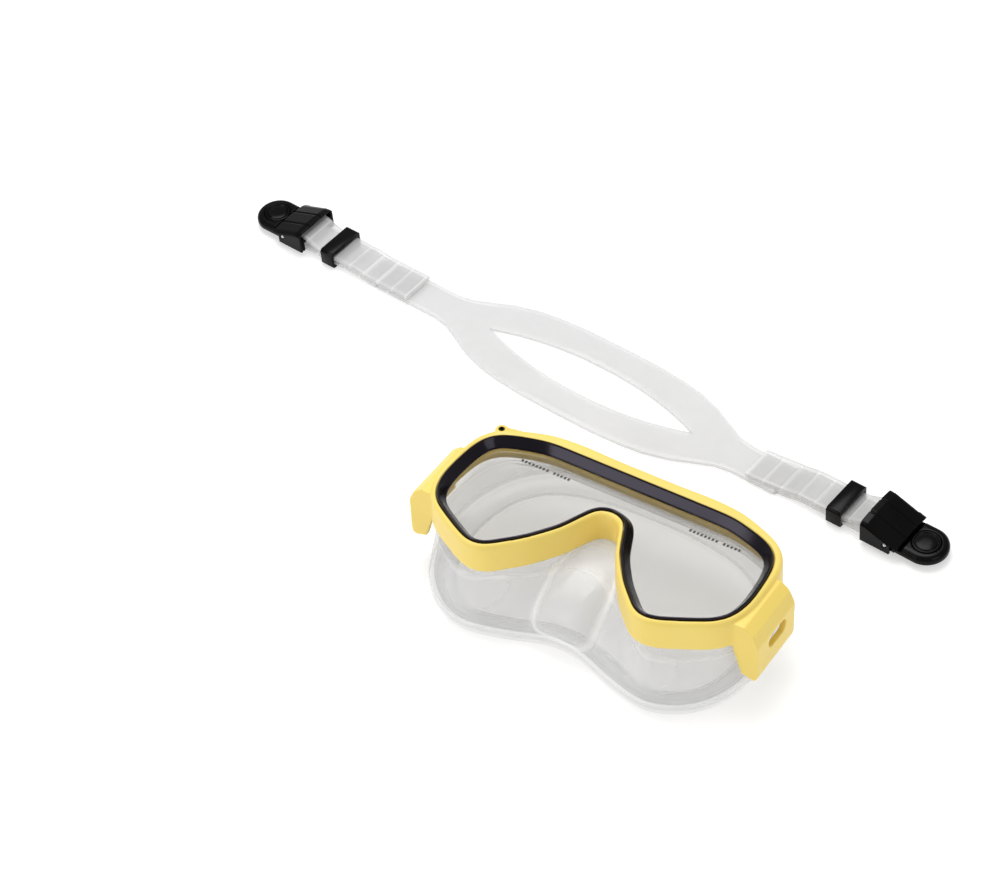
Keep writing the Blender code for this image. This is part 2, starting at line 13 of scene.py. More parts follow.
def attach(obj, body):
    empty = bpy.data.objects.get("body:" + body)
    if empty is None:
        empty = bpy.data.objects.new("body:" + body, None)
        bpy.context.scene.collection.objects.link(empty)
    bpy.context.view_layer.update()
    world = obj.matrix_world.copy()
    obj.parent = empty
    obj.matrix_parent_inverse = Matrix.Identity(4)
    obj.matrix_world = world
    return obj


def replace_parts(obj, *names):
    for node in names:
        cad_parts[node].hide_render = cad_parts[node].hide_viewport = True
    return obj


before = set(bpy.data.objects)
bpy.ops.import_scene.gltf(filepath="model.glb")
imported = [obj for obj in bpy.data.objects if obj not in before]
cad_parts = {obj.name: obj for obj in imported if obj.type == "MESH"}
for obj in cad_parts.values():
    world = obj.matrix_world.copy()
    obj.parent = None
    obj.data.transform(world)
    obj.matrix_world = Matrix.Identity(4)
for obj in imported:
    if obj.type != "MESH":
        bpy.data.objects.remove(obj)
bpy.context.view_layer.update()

MM = 0.001
SHIFT = Vector((76.536, -46.424, 0.0))
LENS_HEIGHT = 43.0
LENS_TILT = math.radians(-4.33)
MASK = Matrix.Translation(SHIFT + Vector((0, 0, LENS_HEIGHT))) @ Matrix.Rotation(LENS_TILT, 4, "X")
FLOOR = Matrix.Translation(SHIFT)
STRAP_CENTRE = Vector((-76.66, 104.43, 0.0))
STRAP_TURN = math.radians(-6.47)
STRAP = FLOOR @ Matrix.Translation(STRAP_CENTRE) @ Matrix.Rotation(STRAP_TURN, 4, "Z")
END_X = {"left": -158.5, "right": 158.5}
END_Y = {"left": 0.0, "right": 2.2}
END_TURN = {"left": math.pi, "right": 0.0}
DRIFT_START, DRIFT_LENGTH = -34.0, 32.0

# Half outline of the lens ring in millimetres: brow to temple, temple to cheek, cheek to nose.
RING = (
    ((0, 31.4), (22, 31.4), (43.3, 31.4), (49.6, 29.7), (55.8, 27.9), (61.8, 25.8), (64.7, 23.9),
     (66.8, 21.3), (68.0, 17.9), (68.6, 14.7), (69.1, 11.2), (69.8, 0)),
    ((69.8, 0), (69.7, -4.9), (68.7, -10.5), (67.6, -13.3), (66, -16.1), (63.9, -18.3),
     (61.2, -20.1), (55.8, -23.2), (50.5, -26), (44.8, -29), (41.6, -30), (40, -30.2)),
    ((40, -30.2), (38.4, -30), (35.2, -28.8), (32.5, -25.8), (27.9, -21.6), (23.9, -17.5),
     (15.6, -6.3), (13.7, -2), (11.4, 3.1), (10.1, 6.3), (8.2, 9.8), (5.2, 12.1), (0, 13.4)),
)
SKIRT_FOOT = (
    ((0, 55), (25, 54), (48, 49), (63, 39), (72, 24), (75.5, 8)),
    ((75.5, 8), (75.5, -5), (74, -15), (71, -24.5), (65, -33), (57, -39.5), (46, -43.5)),
    ((46, -43.5), (34, -42), (20, -38), (9, -33.6), (0, -32.5)),
)
DETAIL = 4
STEPS = tuple(count * DETAIL for count in (13, 9, 13))
RING_ROUNDS, FOOT_ROUNDS, WALL_ROUNDS = 10, 40, 20

# How far the frame stands out from the ring along each run of the half outline.
WALL = ((7.6, 7.4, 8.2, 5.4, 4.2), (4.2, 4.0, 4.0), (4.0, 3.8, 3.8, 4.2))

STRAP_HALF = 8.4
STRAP_THICK = 2.2
HOLE_CENTRE = 6.2
HOLE_HALF_LENGTH = 56.5
HOLE_HALF_WIDTH = 9.6
STRAP_WIDTHS = (
    (0, 24.4), (20, 24.2), (35, 23.0), (45, 21.5),
    (57, 18.0), (66, 13.8), (75, 9.8), (83, STRAP_HALF),
)
TAIL_END = {"left": -93.5, "right": 96.5}

ROLLER_Z = 6.3
KEEPER_X = -17.5
PIN_X, PIN_Z = 9.0, 6.0
STUD_X = 22.3


# ---------------------------------------------------------------- outlines


def along(points, steps):
    """Points spread evenly along an open line."""
    lengths = [0.0]
    for a, b in zip(points, points[1:]):
        lengths.append(lengths[-1] + math.dist(a, b))
    found = []
    for i in range(steps + 1):
        want = lengths[-1] * i / steps
        k = next(j for j in range(1, len(points)) if lengths[j] >= want - 1e-9)
        t = (want - lengths[k - 1]) / (lengths[k] - lengths[k - 1])
        found.append(tuple(p + (q - p) * t for p, q in zip(points[k - 1], points[k])))
    return found


def half(runs, counts):
    """The runs joined into one open line."""
    found = []
    for run, count in zip(runs, counts):
        found += along(run, count)[:-1]
    return found + [runs[-1][-1]]


def whole(right):
    """A closed loop from its right half."""
    left = [(-x, y) for x, y in reversed(right[1:-1])]
    return [tuple(p) for p in right] + left


def smooth(loop, rounds):
    """Eases a closed loop."""
    for _ in range(rounds):
        loop = [
            tuple((a + 2 * b + c) / 4 for a, b, c in zip(loop[i - 1], loop[i], loop[(i + 1) % len(loop)]))
            for i in range(len(loop))
        ]
    return loop


def offset(loop, amounts):
    """The loop moved outwards by one amount, or by an amount for each point."""
    found = []
    for i, (x, y) in enumerate(loop):
        (ax, ay), (bx, by) = loop[i - 1], loop[(i + 1) % len(loop)]
        dx, dy = bx - ax, by - ay
        size = math.hypot(dx, dy)
        amount = amounts if isinstance(amounts, (int, float)) else amounts[i]
        found.append((x - dy / size * amount, y + dx / size * amount))
    return found


RING_LOOP = smooth(whole(half(RING, STEPS)), RING_ROUNDS)
FOOT_LOOP = smooth(whole(half(SKIRT_FOOT, STEPS)), FOOT_ROUNDS)


def wall_amounts():
    """The frame's wall thickness at each point of the ring."""
    values = []
    for knots, count in zip(WALL, STEPS):
        spread = along([(i, k) for i, k in enumerate(knots)], count)
        values += [v for _, v in spread[:-1]]
    values.append(WALL[-1][-1])
    closed = values + values[-2:0:-1]
    return [p[0] for p in smooth([(v,) for v in closed], WALL_ROUNDS)]


def at(loop, z):
    return [Vector((x, y, z)) for x, y in loop]


# ---------------------------------------------------------------- solids


def finish_mesh(name, bm, placed, mat):
    """An object from a bmesh in millimetres."""
    bmesh.ops.recalc_face_normals(bm, faces=bm.faces)
    if bm.calc_volume(signed=True) < 0:
        bmesh.ops.reverse_faces(bm, faces=bm.faces)
    bmesh.ops.transform(bm, matrix=Matrix.Scale(MM, 4) @ placed, verts=bm.verts)
    mesh = bpy.data.meshes.new(name)
    bm.to_mesh(mesh)
    bm.free()
    obj = bpy.data.objects.new(name, mesh)
    obj.data.materials.append(mat)
    bpy.context.scene.collection.objects.link(obj)
    return obj


def lofted(rings, closed, folds=None):
    """A skin over loops of equal length. Folds are weights that the silicone shows as denser lines with a
    painted highlight.
    """
    bm = bmesh.new()
    layer = bm.verts.layers.float.new("fold")
    rows = [[bm.verts.new(p) for p in ring] for ring in rings]
    if folds:
        for row, weights in zip(rows, folds):
            for vert, weight in zip(row, weights):
                vert[layer] = weight
    count = len(rows[0])
    pairs = list(zip(rows, rows[1:]))
    if closed:
        pairs.append((rows[-1], rows[0]))
    for a, b in pairs:
        for i in range(count):
            j = (i + 1) % count
            bm.faces.new((a[i], a[j], b[j], b[i]))
    if not closed:
        bm.faces.new(rows[0])
        bm.faces.new(rows[-1])
    return bm


def ring_loops(radius_at, segments, centre=(0, 0)):
    """Circles about the centre, one for each pair of radius and height."""
    return [
        [
            Vector((
                centre[0] + r * math.cos(math.tau * i / segments),
                centre[1] + r * math.sin(math.tau * i / segments),
                z,
            ))
            for i in range(segments)
        ]
        for r, z in radius_at
    ]


def prism_y(polygon, y0, y1):
    """A side outline made solid between two places across."""
    return lofted([[Vector((x, y, z)) for x, z in polygon] for y in (y0, y1)], False)


def rod_y(radius_at, x, z, segments=32):
    """A turned rod that lies across, from pairs of radius and place."""
    turn = Matrix.Translation((x, 0, z)) @ Matrix.Rotation(math.radians(-90), 4, "X")
    bm = lofted(ring_loops(radius_at, segments), False)
    bmesh.ops.transform(bm, matrix=turn, verts=bm.verts)
    return bm


def settle(obj):
    """Applies the object's modifiers to its mesh."""
    bpy.context.view_layer.update()
    graph = bpy.context.evaluated_depsgraph_get()
    mesh = bpy.data.meshes.new_from_object(obj.evaluated_get(graph))
    obj.modifiers.clear()
    old = obj.data
    obj.data = mesh
    bpy.data.meshes.remove(old)
    return obj


def combine(obj, others, operation):
    """Joins the others to the piece or cuts them from it, and removes them."""
    for other in others:
        step = obj.modifiers.new(other.name, "BOOLEAN")
        step.operation = operation
        step.solver = "EXACT"
        step.object = other
    settle(obj)
    for other in others:
        bpy.data.objects.remove(other, do_unlink=True)
    return obj


def moulded(obj, voxel, rounds):
    """Remeshes a piece evenly and eases its edges, as a moulding's are."""
    step = obj.modifiers.new("remesh", "REMESH")
    step.mode = "VOXEL"
    step.voxel_size = voxel * MM
    step.use_smooth_shade = True
    ease = obj.modifiers.new("ease", "SMOOTH")
    ease.factor = 0.5
    ease.iterations = rounds
    return settle(obj)


def shaded(obj, angle=35):
    """Smooth shading that keeps the edges sharper than the angle."""
    bm = bmesh.new()
    bm.from_mesh(obj.data)
    for face in bm.faces:
        face.smooth = True
    for edge in bm.edges:
        if len(edge.link_faces) == 2:
            edge.smooth = edge.calc_face_angle() < math.radians(angle)
    bm.to_mesh(obj.data)
    bm.free()
    return obj


BEVEL_FROM, SHARP_FROM = 30, 40


def bevelled(obj, width, segments=3):
    step = obj.modifiers.new("bevel", "BEVEL")
    step.width = width * MM
    step.segments = segments
    step.limit_method = "ANGLE"
    step.angle_limit = math.radians(BEVEL_FROM)
    return shaded(settle(obj), SHARP_FROM)


# ---------------------------------------------------------------- materials


class Material:
    """A Principled material with short helpers for its nodes."""

    def __init__(self, name):
        self.data = bpy.data.materials.new(name)
        self.data.use_nodes = True
        self.tree = self.data.node_tree
        self.shader = self.tree.nodes["Principled BSDF"]
        self.coords = self.add("ShaderNodeTexCoord").outputs["Object"]

    def add(self, kind, **values):
        node = self.tree.nodes.new(kind)
        for key, value in values.items():
            setattr(node, key, value)
        return node

    def link(self, a, b):
        self.tree.links.new(a, b)

    def set(self, **values):
        for key, value in values.items():
            self.shader.inputs[key.replace("_", " ")].default_value = value

    def calc(self, operation, a, b):
        node = self.add("ShaderNodeMath", operation=operation)
        for socket, value in zip(node.inputs, (a, b)):
            if isinstance(value, (int, float)):
                socket.default_value = value
            else:
                self.link(value, socket)
        return node.outputs["Value"]

    def noise(self, scale, detail=3.0, stretch=(1, 1, 1)):
        place = self.add("ShaderNodeMapping")
        place.inputs["Scale"].default_value = stretch
        self.link(self.coords, place.inputs["Vector"])
        node = self.add("ShaderNodeTexNoise")
        node.inputs["Scale"].default_value = scale
        node.inputs["Detail"].default_value = detail
        self.link(place.outputs["Vector"], node.inputs["Vector"])
        return node.outputs["Fac"]

    def ramp(self, fac, stops):
        node = self.add("ShaderNodeValToRGB")
        band = node.color_ramp
        while len(band.elements) < len(stops):
            band.elements.new(0.5)
        for element, (place, colour) in zip(band.elements, stops):
            element.position = place
            element.color = (*colour, 1)
        self.link(fac, node.inputs["Fac"])
        return node.outputs["Color"]

    def colour(self, fac, stops):
        self.link(self.ramp(fac, stops), self.shader.inputs["Base Color"])

    def roughness(self, fac, low, high):
        node = self.add("ShaderNodeMapRange")
        node.inputs["To Min"].default_value = low
        node.inputs["To Max"].default_value = high
        self.link(fac, node.inputs["Value"])
        self.link(node.outputs["Result"], self.shader.inputs["Roughness"])

    def bump(self, fac, strength, distance):
        node = self.add("ShaderNodeBump")
        node.inputs["Strength"].default_value = strength
        node.inputs["Distance"].default_value = distance
        self.link(fac, node.inputs["Height"])
        self.link(node.outputs["Normal"], self.shader.inputs["Normal"])


TOP_OF_MASK = 0.047
FOLD_COVER = 0.3
# The lighter colour painted as a highlight along the silicone's folds, ribs and borders.
FOLD_HIGHLIGHT_COLOUR = (0.95, 0.95, 0.95)
LIGHTER_BLACK = 1.8


def yellow_plastic():
    mat = Material("yellow_plastic")
    mat.colour(mat.noise(22, 2), ((0.3, (0.86, 0.645, 0.14)), (0.7, (0.9, 0.69, 0.17))))
    mat.roughness(mat.noise(140, 4), 0.34, 0.46)
    mat.bump(mat.noise(900, 3), 0.06, 0.0004)
    mat.set(Subsurface_Weight=0.1, Subsurface_Radius=(1.0, 0.6, 0.2), Subsurface_Scale=0.003)
    mat.set(Specular_IOR_Level=0.4)
    return mat.data


def black_plastic(name, low, high, tint, shine, hue):
    mat = Material(name)
    light = tuple(c * LIGHTER_BLACK for c in tint)
    mat.colour(mat.noise(60, 3), ((0.35, tint), (0.65, light)))
    mat.roughness(mat.noise(220, 4), low, high)
    mat.bump(mat.noise(1200, 2), 0.05, 0.0003)
    mat.set(Specular_IOR_Level=shine, Specular_Tint=(*hue, 1))
    return mat.data


def lens_glass():
    mat = Material("tempered_lens")
    mat.colour(mat.noise(14, 1), ((0.3, (0.8, 0.79, 0.77)), (0.7, (0.815, 0.805, 0.785))))
    mat.bump(mat.noise(18, 1), 0.02, 0.0002)
    mat.set(Roughness=0.0, IOR=1.5, Transmission_Weight=1.0, Specular_IOR_Level=0.3)
    return mat.data


def silicone(name, cover, tint, low_cover, top_cover):
    """Clear silicone as a thin haze. It is denser along its folds, where a highlight is painted as a lighter
    colour.
    """
    mat = Material(name)
    fold = mat.add("ShaderNodeAttribute", attribute_name="fold").outputs["Fac"]
    # The fold weights paint a highlight by moving the colour towards the lighter highlight colour. The noise
    # adds tone that differs at random.
    shade = mat.calc("ADD", fold, mat.calc("MULTIPLY", mat.noise(30, 3), 0.12))
    mat.colour(shade, ((0.0, tint), (0.9, FOLD_HIGHLIGHT_COLOUR)))
    mat.roughness(mat.noise(70, 3), 0.16, 0.28)
    mat.bump(mat.noise(160, 2), 0.05, 0.0003)
    parts = mat.add("ShaderNodeSeparateXYZ")
    mat.link(mat.coords, parts.inputs["Vector"])
    height = mat.calc("DIVIDE", parts.outputs["Z"], TOP_OF_MASK)
    covers = ((0.07, low_cover), (0.1, 1.0), (0.6, 1.0), (0.66, top_cover))
    level = mat.ramp(height, [(z, (v, v, v)) for z, v in covers])
    cloud = mat.calc("ADD", mat.calc("MULTIPLY", mat.noise(45, 2), 0.3), 0.85)
    haze = mat.calc("MULTIPLY", mat.calc("MULTIPLY", level, cloud), cover)
    alpha = mat.calc("ADD", haze, mat.calc("MULTIPLY", fold, FOLD_COVER))
    mat.link(alpha, mat.shader.inputs["Alpha"])
    mat.set(IOR=1.41, Specular_IOR_Level=0.7)
    return mat.data


def steel():
    mat = Material("drawn_steel")
    mat.colour(mat.noise(400, 4, (1, 8, 8)), ((0.3, (0.42, 0.42, 0.44)), (0.7, (0.62, 0.62, 0.64))))
    mat.roughness(mat.noise(500, 3, (1, 6, 6)), 0.22, 0.4)
    mat.set(Metallic=1.0)
    return mat.data


def print_ink():
    mat = Material("print_ink")
    mat.colour(mat.noise(900, 2), ((0.4, (0.03, 0.03, 0.03)), (0.6, (0.06, 0.06, 0.06))))
    mat.set(Roughness=0.6)
    return mat.data


# ---------------------------------------------------------------- mask


RING_INSIDE, RING_LIP = 1.95, 2.3
RING_UNDER = -14.2

# The frame's outer face as (distance from its wall line, height), front to back.
RING_OUTSIDE = ((-1.6, 0.95), (-0.9, 0.6), (-0.3, -0.2), (0.0, -1.5), (0.2, -13.0), (-0.7, RING_UNDER))

# Where each lug leaves the ring, as (y, x).
LUG_FRONT_ROOT = ((-16.0, 69.9), (-13.2, 70.9))
LUG_FIN_ROOT = ((-14.6, 70.5), (-10.0, 71.6), (0.0, 72.8), (14.0, 71.8))
LUG_OUT, LUG_IN, LUG_FOOT = 82.0, 79.4, -29.0
LUG_TOP = ((75.5, -1.2), (79.6, -4.6), (LUG_OUT, -10.0), (LUG_OUT, -25.6), (81.4, -28.2), (80.4, LUG_FOOT))
LUG_FRONT_LOW = ((LUG_IN, LUG_FOOT), (74.6, -27.4))
LUG_FIN_LOW = ((LUG_IN, LUG_FOOT), (LUG_IN, -13.0), (76.6, -10.6), (74.4, -13.0))
LUG_ROOT_LOW, LUG_ROOT_HIGH = -13.6, -1.4
SLOT_Z, SLOT_HALF, SLOT_RADIUS, SLOT_POINTS = -15.0, 3.6, 3.4, 40
CUT_PAST = 1.5

BOSS = (-65.5, 29.6)
BOSS_PROFILE = ((2.5, -9.0), (2.8, -7.0), (2.8, 0.6), (2.4, 1.2))
BOSS_HOLE = ((1.35, -6.0), (1.35, 4.0))
WEB = ((-66.0, 31.6), (-64.8, 32.2), (-58.5, 33.6), (-54.0, 31.0), (-64.0, 26.0))
WEB_LOW, WEB_HIGH = -12.0, 0.3
FRAME_VOXEL, FRAME_EASE = 0.4, 6


def lug_section(x0, y, low):
    top = ((x0, LUG_ROOT_LOW), (x0, LUG_ROOT_HIGH)) + LUG_TOP
    return [Vector((x, y, z)) for x, z in top + low]


def mirrored(loop, side):
    return [Vector((p.x * side, p.y, p.z)) for p in loop]


def lug_part(name, roots, low, side, mat):
    rings = [mirrored(lug_section(x0, y, low), side) for y, x0 in roots]
    return finish_mesh(name, lofted(rings, False), MASK, mat)


def slot_cutter(side, mat):
    """A slot with round ends, cut through a lug from its side."""
    rings = []
    for x in (LUG_IN - CUT_PAST, LUG_OUT + CUT_PAST):
        loop = []
        for i in range(SLOT_POINTS):
            turn = math.tau * (i + 0.5) / SLOT_POINTS
            reach = math.copysign(SLOT_HALF, math.cos(turn))
            y = reach + SLOT_RADIUS * math.cos(turn)
            loop.append(Vector((side * x, y, SLOT_Z + SLOT_RADIUS * math.sin(turn))))
        rings.append(loop)
    return finish_mesh("slot", lofted(rings, False), MASK, mat)


def frame_shell(mat):
    wall = wall_amounts()
    inner, lip = offset(RING_LOOP, RING_INSIDE), offset(RING_LOOP, RING_LIP)
    sections = [(inner, -13.6), (inner, 0.4), (lip, 0.9)]
    sections += [(offset(RING_LOOP, [w + out for w in wall]), z) for out, z in RING_OUTSIDE]
    sections.append((lip, RING_UNDER))
    obj = finish_mesh("frame_shell", lofted([at(loop, z) for loop, z in sections], True), MASK, mat)
    added, cuts = [], []
    for side in (1, -1):
        added.append(lug_part("fin", LUG_FIN_ROOT, LUG_FIN_LOW, side, mat))
        added.append(lug_part("front", LUG_FRONT_ROOT, LUG_FRONT_LOW, side, mat))
        cuts.append(slot_cutter(side, mat))
    added.append(finish_mesh("boss", lofted(ring_loops(BOSS_PROFILE, 40, BOSS), False), MASK, mat))
    cuts.append(finish_mesh("boss_hole", lofted(ring_loops(BOSS_HOLE, 32, BOSS), False), MASK, mat))
    web = [at(WEB, z) for z in (WEB_LOW, WEB_HIGH)]
    added.append(finish_mesh("web", lofted(web, False), MASK, mat))
    combine(obj, added, "UNION")
    combine(obj, cuts, "DIFFERENCE")
    moulded(obj, FRAME_VOXEL, FRAME_EASE)
    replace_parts(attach(obj, "mask"), "frame")
    return obj


# These sections are pairs of distance from the ring, or from the boss's axis, and height.
BUSH_SECTION = ((0.55, -5.6), (0.55, 1.1), (0.7, 1.4), (0.9, 1.4), (1.05, 1.2), (1.05, -5.6))
BEZEL_SECTION = (
    (1.65, -2.9), (1.65, 0.9), (1.55, 1.3), (1.3, 1.55), (1.0, 1.6), (0.75, 1.45),
    (0.4, 1.0), (-1.9, -1.9), (-2.15, -2.3), (-2.2, -2.9),
)
LENS_SECTION = ((0.8, -7.1), (1.1, -6.95), (1.2, -6.7), (1.2, -3.6), (1.1, -3.35), (0.8, -3.2))


def bush(mat):
    rings = ring_loops(BUSH_SECTION, 32, BOSS)
    obj = shaded(finish_mesh("boss_bush", lofted(rings, True), MASK, mat))
    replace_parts(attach(obj, "mask"), "camera_bush")
    return obj


def bezel(mat):
    rings = [at(offset(RING_LOOP, d), z) for d, z in BEZEL_SECTION]
    obj = shaded(finish_mesh("lens_bezel", lofted(rings, True), MASK, mat))
    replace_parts(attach(obj, "mask"), "lens_retainer")
    return obj


def lens_pane(mat):
    rings = [at(offset(RING_LOOP, d), z) for d, z in LENS_SECTION]
    obj = shaded(finish_mesh("lens_pane", lofted(rings, False), MASK, mat), 20)
    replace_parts(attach(obj, "mask"), "lens")
    return obj


DASH_STARTS, DASH_Y, DASH_Z = (-50.0, 30.0), 21.4, -3.05
DASHES, DASH_GAP, DASH_STEP = 14, 8, 1.72
DASH_LONG, DASH_TALL, DASH_THICK = 1.0, 1.35, 0.1


def print_dashes(mat):
    """A plain row of dashes stands in for the printing near each upper outer edge of the lens."""
    bm = bmesh.new()
    for start in DASH_STARTS:
        for i in range(DASHES):
            if i == DASH_GAP:
                continue
            size = Matrix.Diagonal((DASH_LONG, DASH_TALL, DASH_THICK, 1))
            place = Matrix.Translation((start + DASH_STEP * i, DASH_Y, DASH_Z))
            bmesh.ops.create_cube(bm, size=1, matrix=place @ size)
    obj = finish_mesh("lens_print", bm, MASK, mat)
    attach(obj, "mask")
    return obj


COLLAR_TOP, COLLAR_OUT, COLLAR_IN = -7.4, 1.6, -0.6
WAIST_OUT_HEIGHT, WAIST_IN, WAIST_IN_HEIGHT = -15.0, -0.2, -15.3
FOOT_HEIGHT, FOOT_IN, FOOT_IN_HEIGHT = 3.6, -1.7 - 0.6, 5.0
SEAL = 10.5

# The sole from the foot's outer edge to the seal's edge and back, as (inset, height).
SOLE = (
    (0.1, 2.3), (0.5, 1.2), (1.1, 0.4), (2.0, 0.0), (5.0, 0.3), (8.0, 0.9), (SEAL, 1.6), (SEAL + 0.5, 2.2),
    (SEAL + 0.3, 2.9), (SEAL - 0.5, 3.2), (6.5, 3.5), (4.0, 4.1),
)
LEVELS = 40
BROW_FROM = 12.0
NOSE_OUT, NOSE_UP, NOSE_HALF = 10.0, 6.5, 12.0
CHEEK_X, CHEEK_OUT, CHEEK_HALF = 30.0, 3.0, 10.0
SWELL_RATE, SWELL_POWER, SWELL_END = 1.12, 0.8, 0.89
FLARE_POWER, SAG = 1.15, 0.12
WAIST_CREASE, FOOT_CREASE = 0.22, 0.88
# Weights of the painted highlight and denser haze: the inner wall's share of the outer wall's, and the
# seal's edge.
INNER_HIGHLIGHT, SEAL_HIGHLIGHT = 0.4, 0.7


def ridge(value, centre, width):
    """A smooth bump of height 1 about the centre."""
    return math.exp(-(((value - centre) / width) ** 2))


def pocket(p, t):
    """How the skirt swells round the nose, and hollows a little beside it, at a height t of the way down."""
    x, y = abs(p.x - SHIFT.x), p.y - SHIFT.y
    if y > BROW_FROM or t >= SWELL_END:
        return Vector((0, 0, 0))
    near = math.exp(-((x / NOSE_HALF) ** 4))
    beside = ridge(x, CHEEK_X, CHEEK_HALF)
    swell = math.sin(math.pi * min(1.0, t * SWELL_RATE)) ** SWELL_POWER
    return Vector((0, -NOSE_OUT * near * swell + CHEEK_OUT * beside * swell, NOSE_UP * near * swell))


def wall_loop(top, low, t):
    """A loop t of the way down the wall, between the collar's waist and the foot."""
    spread = math.sin(t * math.pi / 2) ** FLARE_POWER
    fall = t - SAG * math.sin(math.pi * t) * (1 - t)
    fold = 0.45 * ridge(t, WAIST_CREASE, 0.04) + 0.4 * ridge(t, FOOT_CREASE, 0.035)
    loop = []
    for a, b in zip(top, low):
        p = a.lerp(b, spread)
        p.z = a.z + (b.z - a.z) * fall
        out = Vector((p.x - SHIFT.x, p.y - SHIFT.y, 0)).normalized()
        loop.append(p + out * fold + pocket(p, t))
    return loop


def crease_highlight_weight(p, t):
    """Where the wall is creased: round the nose pocket, over the cheeks and along the foot. These weights
    paint a highlight there, and denser haze.
    """
    x, y = abs(p.x - SHIFT.x), p.y - SHIFT.y
    weight = 0.55 * ridge(t, FOOT_CREASE, 0.03) + 0.3 * ridge(t, WAIST_CREASE, 0.04)
    if y < BROW_FROM:
        pocket_edge = (x / 14.0) ** 4 + ((t - 0.42) / 0.4) ** 4
        weight += 0.8 * ridge(pocket_edge, 1, 0.4)
        cheek = ((x - 41.0) / 15.0) ** 2 + ((t - 0.4) / 0.32) ** 2
        weight += 0.3 / (1 + math.exp(9 * (cheek - 1)))
    return min(1.0, weight)


def on_mask(distance, height):
    return [MASK @ p for p in at(offset(RING_LOOP, distance), height)]


def on_floor(distance, height):
    return [FLOOR @ p for p in at(offset(FOOT_LOOP, distance), height)]


def face_skirt(mat):
    collar = on_mask(COLLAR_OUT, COLLAR_TOP)
    waist = on_mask(COLLAR_OUT, WAIST_OUT_HEIGHT)
    collar_in = on_mask(COLLAR_IN, COLLAR_TOP)
    waist_in = on_mask(WAIST_IN, WAIST_IN_HEIGHT)
    foot = [FLOOR @ p for p in at(FOOT_LOOP, FOOT_HEIGHT)]
    foot_in = on_floor(FOOT_IN, FOOT_IN_HEIGHT)
    outer = [wall_loop(waist, foot, i / LEVELS) for i in range(1, LEVELS)]
    inner = [wall_loop(waist_in, foot_in, i / LEVELS) for i in range(1, LEVELS)]
    sole = [on_floor(-inset, z) for inset, z in SOLE]
    rings = [collar, waist, *outer, foot, *sole, foot_in, *reversed(inner), waist_in, collar_in]
    plain = [0.0] * len(collar)
    # Weights that paint a highlight and denser haze on the creases, the inner wall and the seal's edge.
    outer_highlights = [[crease_highlight_weight(p, i / LEVELS) for p in outer[i - 1]] for i in range(1, LEVELS)]
    inner_highlights = [[INNER_HIGHLIGHT * w for w in row] for row in outer_highlights]
    at_seal = [SEAL <= inset <= SEAL + 0.5 for inset, _ in SOLE]
    sole_highlights = [[SEAL_HIGHLIGHT if folded else 0.0] * len(collar) for folded in at_seal]
    folds = [plain, plain, *outer_highlights, plain, *sole_highlights, plain, *reversed(inner_highlights), plain, plain]
    obj = shaded(finish_mesh("face_skirt", lofted(rings, True, folds), Matrix(), mat), 60)
    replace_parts(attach(obj, "mask"), "skirt")
    return obj


# ---------------------------------------------------------------- strap


def end_frame(side):
    return Matrix.Translation((END_X[side], END_Y[side], 0)) @ Matrix.Rotation(END_TURN[side], 4, "Z")


def strap_width(u):
    u = abs(u - HOLE_CENTRE)
    for (a, wa), (b, wb) in zip(STRAP_WIDTHS, STRAP_WIDTHS[1:]):
        if u <= b:
            return wa + (wb - wa) * (u - a) / (b - a)
    return STRAP_HALF


def hole_width(u):
    t = abs(u - HOLE_CENTRE) / HOLE_HALF_LENGTH
    return 0.0 if t >= 1 else HOLE_HALF_WIDTH * (1 - t**2.2)


def drift(side, x):
    t = min(1, max(0, (DRIFT_START - x) / DRIFT_LENGTH))
    return -END_Y[side] * t * t * (3 - 2 * t)


TAIL_LINE = ((-52, 4.0), (-42, 4.1), (-35, 5.2), (-22, 5.2), (-12.5, 5.2), (-8, 6.6), (-3, 9.2))
RETURN_LINE = ((-6, 2.7), (-22, 2.7), (-35, 2.7), (-42, 1.4), (-46, 1.4))
TAIL_HEIGHT, RUN_HEIGHT = 4.0, 1.4
WRAP_RADIUS, WRAP_STEP = 3.6, 30
ROWS, LINE_ROUNDS = 150, 6


def end_line(side):
    """The strap's middle line at one end as (x, z): tail, over the roller, and back to the run."""
    reach = abs(TAIL_END[side]) - abs(END_X[side])
    found = [(reach, TAIL_HEIGHT), *TAIL_LINE]
    for turn in range(0, 181, WRAP_STEP):
        a = math.radians(90 - turn)
        found.append((WRAP_RADIUS * math.cos(a), ROLLER_Z + WRAP_RADIUS * math.sin(a)))
    return found + list(RETURN_LINE)


def smooth_open(points, rounds):
    """Eases an open line and keeps its ends."""
    for _ in range(rounds):
        middle = [
            tuple((a + 2 * b + c) / 4 for a, b, c in zip(points[i - 1], points[i], points[i + 1]))
            for i in range(1, len(points) - 1)
        ]
        points = [points[0], *middle, points[-1]]
    return points


def end_rows(side):
    """Rows along one end, from its tail to where the run begins."""
    place = end_frame(side)
    points = smooth_open(along(end_line(side), ROWS), LINE_ROUNDS)
    across = place.to_3x3() @ Vector((0, 1, 0))
    found = []
    for i, (x, z) in enumerate(points):
        ax, az = points[max(0, i - 1)]
        bx, bz = points[min(len(points) - 1, i + 1)]
        ahead = Vector((bx - ax, 0, bz - az)).normalized()
        up = place.to_3x3() @ ahead.cross(Vector((0, 1, 0)))
        found.append((place @ Vector((x, drift(side, x), z)), across, -up, STRAP_HALF, 0.0))
    return found


